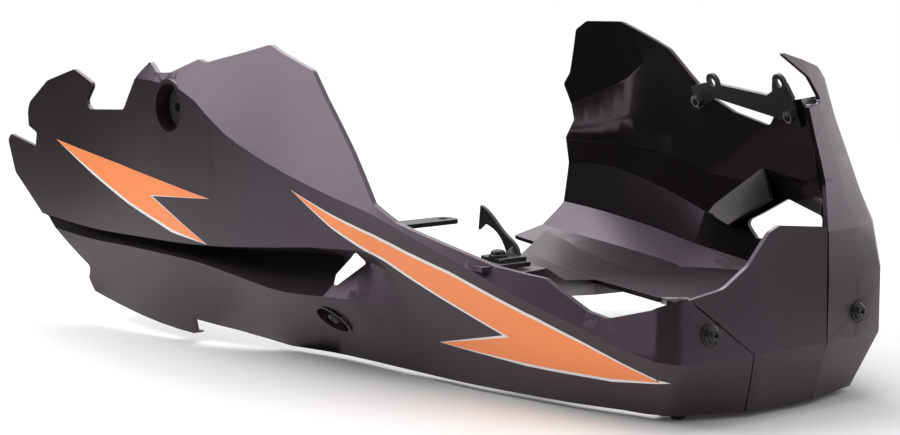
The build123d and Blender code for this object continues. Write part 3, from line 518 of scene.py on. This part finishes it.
class PAN_OT_right_side_panel(bpy.types.Operator):
    """Long side panel: satin outside, gloss inside, painted shade in the groove"""

    bl_idname = "pan.right_side_panel"
    bl_label = "Right Side Panel"

    def execute(self, context):
        shell = dress_moulding("right_side_panel", "right_side_shell", RIGHT_INWARD)
        even_out(shell, on_flap, FLAP_LIKENESS)
        even_out(shell, on_flank, FLANK_LIKENESS)
        # darker black in the gill's groove as painted shade
        paint_gill_shade(shell)
        return {"FINISHED"}


class PAN_OT_left_side_panel(bpy.types.Operator):
    """Short side panel: satin outside and tray, gloss inside with rounded creases"""

    bl_idname = "pan.left_side_panel"
    bl_label = "Left Side Panel"

    def execute(self, context):
        shell = dress_moulding("left_side_panel", "left_side_shell", LEFT_INWARD, round_creases)
        even_out(shell, on_left_outside, LEFT_LIKENESS)
        return {"FINISHED"}


class PAN_OT_nose_panel(bpy.types.Operator):
    """Nose panel between the two side panels"""

    bl_idname = "pan.nose_panel"
    bl_label = "Nose Panel"

    def execute(self, context):
        dress_moulding("nose_centre_panel", "nose_shell", NOSE_INWARD)
        return {"FINISHED"}


def flat_film(name, outline, step):
    """Film cut to an outline in side view, with a mesh fine enough to follow the panel."""
    deselect()
    bpy.ops.mesh.primitive_plane_add(size=step)
    film = bpy.context.view_layer.objects.active
    film.name = name
    film.data.name = name
    bpy.ops.object.mode_set(mode="EDIT")
    bpy.ops.mesh.select_all(action="SELECT")
    bpy.ops.mesh.merge(type="CENTER")
    ahead, height = outline[0]
    bpy.ops.transform.translate(value=(ahead, FILM_PLANE, height))
    for here, there in zip(outline, outline[1:]):
        bpy.ops.mesh.extrude_region_move(
            TRANSFORM_OT_translate={"value": (there[0] - here[0], 0, there[1] - here[1])})
    bpy.ops.mesh.select_all(action="SELECT")
    bpy.ops.mesh.edge_face_add()
    bpy.ops.mesh.quads_convert_to_tris(ngon_method="CLIP")
    for axis, normal in ((0, (1, 0, 0)), (1, (0, 0, 1))):
        low = min(point[axis] for point in outline)
        high = max(point[axis] for point in outline)
        for count in range(1, int((high - low) / step) + 1):
            place = Vector(normal) * (low + count * step)
            bpy.ops.mesh.select_all(action="SELECT")
            bpy.ops.mesh.bisect(plane_co=place, plane_no=normal)
    bpy.ops.mesh.select_all(action="SELECT")
    bpy.ops.mesh.remove_doubles(threshold=WELD)
    bpy.ops.object.mode_set(mode="OBJECT")
    return film


def grown(outline, width):
    """Outline moved outwards by a width, with its long points cut short."""
    after_each = outline[1:] + outline[:1]
    turn = sum(here[0] * there[1] - there[0] * here[1] for here, there in zip(outline, after_each))
    side = 1 if turn > 0 else -1
    points = []
    for before, here, after in zip(outline[-1:] + outline[:-1], outline, after_each):
        edges = (Vector(here) - Vector(before), Vector(after) - Vector(here))
        outs = [Vector((edge.y, -edge.x)).normalized() * side for edge in edges]
        both = outs[0] + outs[1]
        reach = min(2 * width / max(both.length_squared, LEAST_BEND), POINT_REACH * width)
        points.append(tuple(Vector(here) + both * reach))
    return points


def lay_film(film, panel, lift, thickness, material):
    """Press a film onto the outside of a panel and give it its thickness."""
    pick(film)
    wrap = film.modifiers.new("press", "SHRINKWRAP")
    wrap.target = panel
    wrap.wrap_method = "PROJECT"
    wrap.use_project_y = True
    wrap.use_negative_direction = False
    wrap.use_positive_direction = True
    wrap.wrap_mode = "ABOVE_SURFACE"
    wrap.offset = lift
    bpy.ops.object.modifier_apply(modifier=wrap.name)
    if sum(face.normal.y for face in film.data.polygons) > 0:
        bpy.ops.object.mode_set(mode="EDIT")
        bpy.ops.mesh.flip_normals()
        bpy.ops.object.mode_set(mode="OBJECT")
    wall = film.modifiers.new("thickness", "SOLIDIFY")
    wall.thickness = thickness
    wall.offset = -1
    bpy.ops.object.modifier_apply(modifier=wall.name)
    film.data.materials.append(material)
    shade(film, FILM_ANGLE)
    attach(film, "root")


class PAN_OT_slash_stickers(bpy.types.Operator):
    """Two orange slash stickers with white borders on the long side panel"""

    bl_idname = "pan.slash_stickers"
    bl_label = "Slash Stickers"

    def execute(self, context):
        sticker = context.scene.pan_sticker
        panel = bpy.data.objects["right_side_shell"]
        orange = grained_material("Orange Film", sticker.orange, roughness=0.34, fine=300.0, bump=0.02,
                                  spread=0.04)
        white = grained_material("White Film", sticker.white, roughness=0.34, fine=300.0, bump=0.02,
                                 spread=0.03)
        slashes = (("rear_slash", REAR_SLASH, REAR_PLAIN), ("front_slash", FRONT_SLASH, ()))
        for name, outline, plain in slashes:
            inner = [(x * MM, z * MM) for x, z in outline]
            edge = grown(inner, sticker.border)
            for index in plain:
                edge[index] = inner[index]
            border = flat_film(name + "_border", edge, sticker.step)
            lay_film(border, panel, BORDER_LIFT * sticker.film, sticker.film, white)
            fill = flat_film(name + "_fill", inner, sticker.step)
            lay_film(fill, panel, FILL_LIFT * sticker.film, sticker.film, orange)
        return {"FINISHED"}


def dress_hardware(nodes, material):
    """Copies of metal, rubber or nylon pieces with their finish."""
    for node in nodes:
        piece = copy_of_node(node, node + "_finish")
        piece.data.materials.append(material)
        shade(piece, HARDWARE_ANGLE)
        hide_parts(node)
        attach(piece, "root")


class PAN_OT_screws(bpy.types.Operator):
    """Black button-head screws"""

    bl_idname = "pan.screws"
    bl_label = "Screws"

    def execute(self, context):
        black = grained_material("Black Oxide", context.scene.pan_hardware.screw_colour, roughness=0.27,
                                 metallic=0.7, fine=500.0)
        dress_hardware(["nose_screws", "underside_screws", "side_screw", "stay_screw", "hook_screw",
                        "front_bracket_screws"], black)
        return {"FINISHED"}


class PAN_OT_washers(bpy.types.Operator):
    """Nylon washers under the screw heads"""

    bl_idname = "pan.washers"
    bl_label = "Washers"

    def execute(self, context):
        nylon = grained_material("Black Nylon", context.scene.pan_hardware.screw_colour, roughness=0.5,
                                 fine=400.0)
        dress_hardware(["nose_washers", "side_washer"], nylon)
        return {"FINISHED"}


class PAN_OT_clip_nuts(bpy.types.Operator):
    """Zinc plated clip nuts and nuts"""

    bl_idname = "pan.clip_nuts"
    bl_label = "Clip Nuts"

    def execute(self, context):
        zinc = grained_material("Zinc Plate", context.scene.pan_hardware.zinc_colour, roughness=0.3,
                                metallic=1.0, fine=250.0, spread=0.12, swing=0.1)
        dress_hardware(["nose_clip_nuts", "underside_clip_nuts", "hook_clip_nut", "tray_clip_nut", "side_nut",
                        "front_bracket_nuts"], zinc)
        return {"FINISHED"}


class PAN_OT_brackets(bpy.types.Operator):
    """Powder coated stay, hook and front brackets"""

    bl_idname = "pan.brackets"
    bl_label = "Brackets"

    def execute(self, context):
        coat = grained_material("Powder Coat", context.scene.pan_hardware.bracket_colour, roughness=0.4,
                                fine=450.0, bump=0.2)
        dress_hardware(["stay_bracket", "hook_bracket", "front_mount_bracket"], coat)
        return {"FINISHED"}


class PAN_OT_rear_mount(bpy.types.Operator):
    """Rubber grommet and steel sleeve of the rear mount"""

    bl_idname = "pan.rear_mount"
    bl_label = "Rear Mount"

    def execute(self, context):
        hardware = context.scene.pan_hardware
        rubber = grained_material("Rubber", hardware.rubber_colour, roughness=0.62, fine=350.0, bump=0.15)
        steel = grained_material("Black Sleeve", hardware.screw_colour, roughness=0.4, metallic=0.6,
                                 fine=350.0)
        dress_hardware(["rear_mount_grommet"], rubber)
        dress_hardware(["rear_mount_sleeve"], steel)
        return {"FINISHED"}


def floor_material(stage):
    """White paper floor that fades into the background away from the pan."""
    material, shader = new_material("White Paper")
    nodes, links = material.node_tree.nodes, material.node_tree.links
    shader.inputs["Base Color"].default_value = (*(FLOOR_TONE * c for c in stage.paper), 1)
    shader.inputs["Roughness"].default_value = 0.9
    shader.inputs["Specular IOR Level"].default_value = 0.0
    place = nodes.new("ShaderNodeTexCoord")
    away = nodes.new("ShaderNodeVectorMath")
    away.operation = "LENGTH"
    links.new(place.outputs["Object"], away.inputs[0])
    fade = nodes.new("ShaderNodeMapRange")
    fade.interpolation_type = "SMOOTHSTEP"
    fade.inputs["From Min"].default_value = FADE_START * stage.floor_radius
    fade.inputs["From Max"].default_value = FADE_END * stage.floor_radius
    links.new(away.outputs["Value"], fade.inputs["Value"])
    clear = nodes.new("ShaderNodeBsdfTransparent")
    blend = nodes.new("ShaderNodeMixShader")
    links.new(fade.outputs["Result"], blend.inputs["Fac"])
    links.new(shader.outputs["BSDF"], blend.inputs[1])
    links.new(clear.outputs["BSDF"], blend.inputs[2])
    links.new(blend.outputs["Shader"], nodes["Material Output"].inputs["Surface"])
    return material


def white_world(stage):
    """World that shows white to the camera and to reflections, and lights the pan softly."""
    world = bpy.data.worlds.new("Studio")
    bpy.context.scene.world = world
    world.use_nodes = True
    nodes, links = world.node_tree.nodes, world.node_tree.links
    soft = nodes["Background"]
    soft.inputs["Color"].default_value = (1, 1, 1, 1)
    soft.inputs["Strength"].default_value = stage.soft_light
    white = nodes.new("ShaderNodeBackground")
    white.inputs["Color"].default_value = (*stage.paper, 1)
    white.inputs["Strength"].default_value = 1.0
    path = nodes.new("ShaderNodeLightPath")
    seen = path.outputs["Is Camera Ray"]
    for ray in ("Is Glossy Ray", "Is Transmission Ray"):
        either = nodes.new("ShaderNodeMath")
        either.operation = "MAXIMUM"
        links.new(seen, either.inputs[0])
        links.new(path.outputs[ray], either.inputs[1])
        seen = either.outputs["Value"]
    blend = nodes.new("ShaderNodeMixShader")
    links.new(seen, blend.inputs["Fac"])
    links.new(soft.outputs["Background"], blend.inputs[1])
    links.new(white.outputs["Background"], blend.inputs[2])
    links.new(blend.outputs["Shader"], nodes["World Output"].inputs["Surface"])


def soft_box(name, place, width, height, power):
    """Rectangular lamp aimed at the pan."""
    deselect()
    bpy.ops.object.light_add(type="AREA", location=place)
    lamp = bpy.context.view_layer.objects.active
    lamp.name = name
    lamp.data.shape = "RECTANGLE"
    lamp.data.size = width
    lamp.data.size_y = height
    lamp.data.energy = power
    lamp.rotation_euler = (AIM - Vector(place)).to_track_quat("-Z", "Y").to_euler()


def black_felt():
    """Dull cloth of the studio's dark cards."""
    if "Dark Card" in bpy.data.materials:
        return bpy.data.materials["Dark Card"]
    material, shader = new_material("Dark Card")
    shader.inputs["Base Color"].default_value = (0.02, 0.02, 0.02, 1)
    shader.inputs["Roughness"].default_value = 1.0
    return material


def dark_card(name, place, target, width, height):
    """Dark card that only the gloss sees, in place of the white studio."""
    deselect()
    bpy.ops.mesh.primitive_plane_add(size=1)
    card = bpy.context.view_layer.objects.active
    card.name = name
    card.scale = (width, height, 1)
    card.location = place
    card.rotation_euler = (place - target).to_track_quat("Z", "Y").to_euler()
    bpy.ops.object.transform_apply(location=True, rotation=True, scale=True)
    card.data.materials.append(black_felt())
    card.visible_camera = False
    card.visible_diffuse = False
    card.visible_shadow = False


class PAN_OT_stage(bpy.types.Operator):
    """White floor, soft boxes, dark cards and the camera"""

    bl_idname = "pan.stage"
    bl_label = "Stage"

    def execute(self, context):
        stage = context.scene.pan_stage
        deselect()
        bpy.ops.mesh.primitive_circle_add(vertices=FLOOR_SIDES, radius=stage.floor_radius, fill_type="NGON")
        floor = bpy.context.view_layer.objects.active
        floor.name = "paper_floor"
        floor.data.materials.append(floor_material(stage))
        white_world(stage)
        for name, place, width, height, power in LAMPS:
            soft_box(name, place, width, height, power)
        back = Vector((math.sin(stage.azimuth) * math.cos(stage.elevation),
                       -math.cos(stage.azimuth) * math.cos(stage.elevation), math.sin(stage.elevation)))
        camera_card_place = AIM + CAMERA_CARD_AWAY * back + Vector((0, 0, CAMERA_CARD_RISE))
        dark_card("camera_flag", camera_card_place, AIM, CAMERA_CARD_SIZE, CAMERA_CARD_SIZE)
        dark_card("side_flag", SIDE_CARD_PLACE, Vector((0, 0, SIDE_CARD_PLACE.z)), SIDE_CARD_WIDTH,
                  SIDE_CARD_HEIGHT)
        for name, place, length, width in FLOOR_CARDS:
            dark_card(name, Vector((*place, FLOOR_CARD_LIFT)), Vector((*place, 0)), length, width)
        deselect()
        bpy.ops.object.camera_add(location=stage.camera_place)
        camera = bpy.context.view_layer.objects.active
        camera.rotation_euler = (-back).to_track_quat("-Z", "Y").to_euler()
        camera.data.lens = stage.lens
        camera.data.clip_start = CLIP_START
        context.scene.camera = camera
        context.scene.view_settings.view_transform = "Standard"
        return {"FINISHED"}


class PAN_PT_sidebar(bpy.types.Panel):
    """Lists the pan's pieces and their settings"""

    bl_idname = "PAN_PT_sidebar"
    bl_label = "Belly Pan"
    bl_space_type = "VIEW_3D"
    bl_region_type = "UI"
    bl_category = "Belly Pan"

    def draw(self, context):
        for operator in PIECES:
            self.layout.operator(operator.bl_idname)
        for name, group in SETTINGS.items():
            box = self.layout.box()
            for setting in group.__annotations__:
                box.prop(getattr(context.scene, name), setting)


PIECES = (
    PAN_OT_right_side_panel, PAN_OT_left_side_panel, PAN_OT_nose_panel, PAN_OT_slash_stickers, PAN_OT_screws,
    PAN_OT_washers, PAN_OT_clip_nuts, PAN_OT_brackets, PAN_OT_rear_mount, PAN_OT_stage,
)
SETTINGS = {
    "pan_moulding": MouldingSettings,
    "pan_sticker": StickerSettings,
    "pan_hardware": HardwareSettings,
    "pan_stage": StageSettings,
}


def register():
    """Add the classes and hang the settings on the scene."""
    for name, group in SETTINGS.items():
        bpy.utils.register_class(group)
        setattr(bpy.types.Scene, name, bpy.props.PointerProperty(type=group))
    for operator in PIECES:
        bpy.utils.register_class(operator)
    bpy.utils.register_class(PAN_PT_sidebar)


def unregister():
    """Take the classes and settings away again."""
    bpy.utils.unregister_class(PAN_PT_sidebar)
    for operator in reversed(PIECES):
        bpy.utils.unregister_class(operator)
    for name, group in SETTINGS.items():
        delattr(bpy.types.Scene, name)
        bpy.utils.unregister_class(group)


def main():
    """Build every piece in order."""
    register()
    bpy.ops.pan.right_side_panel()
    bpy.ops.pan.left_side_panel()
    bpy.ops.pan.nose_panel()
    bpy.ops.pan.slash_stickers()
    bpy.ops.pan.screws()
    bpy.ops.pan.washers()
    bpy.ops.pan.clip_nuts()
    bpy.ops.pan.brackets()
    bpy.ops.pan.rear_mount()
    bpy.ops.pan.stage()
    deselect()


if __name__ == "__main__":
    main()
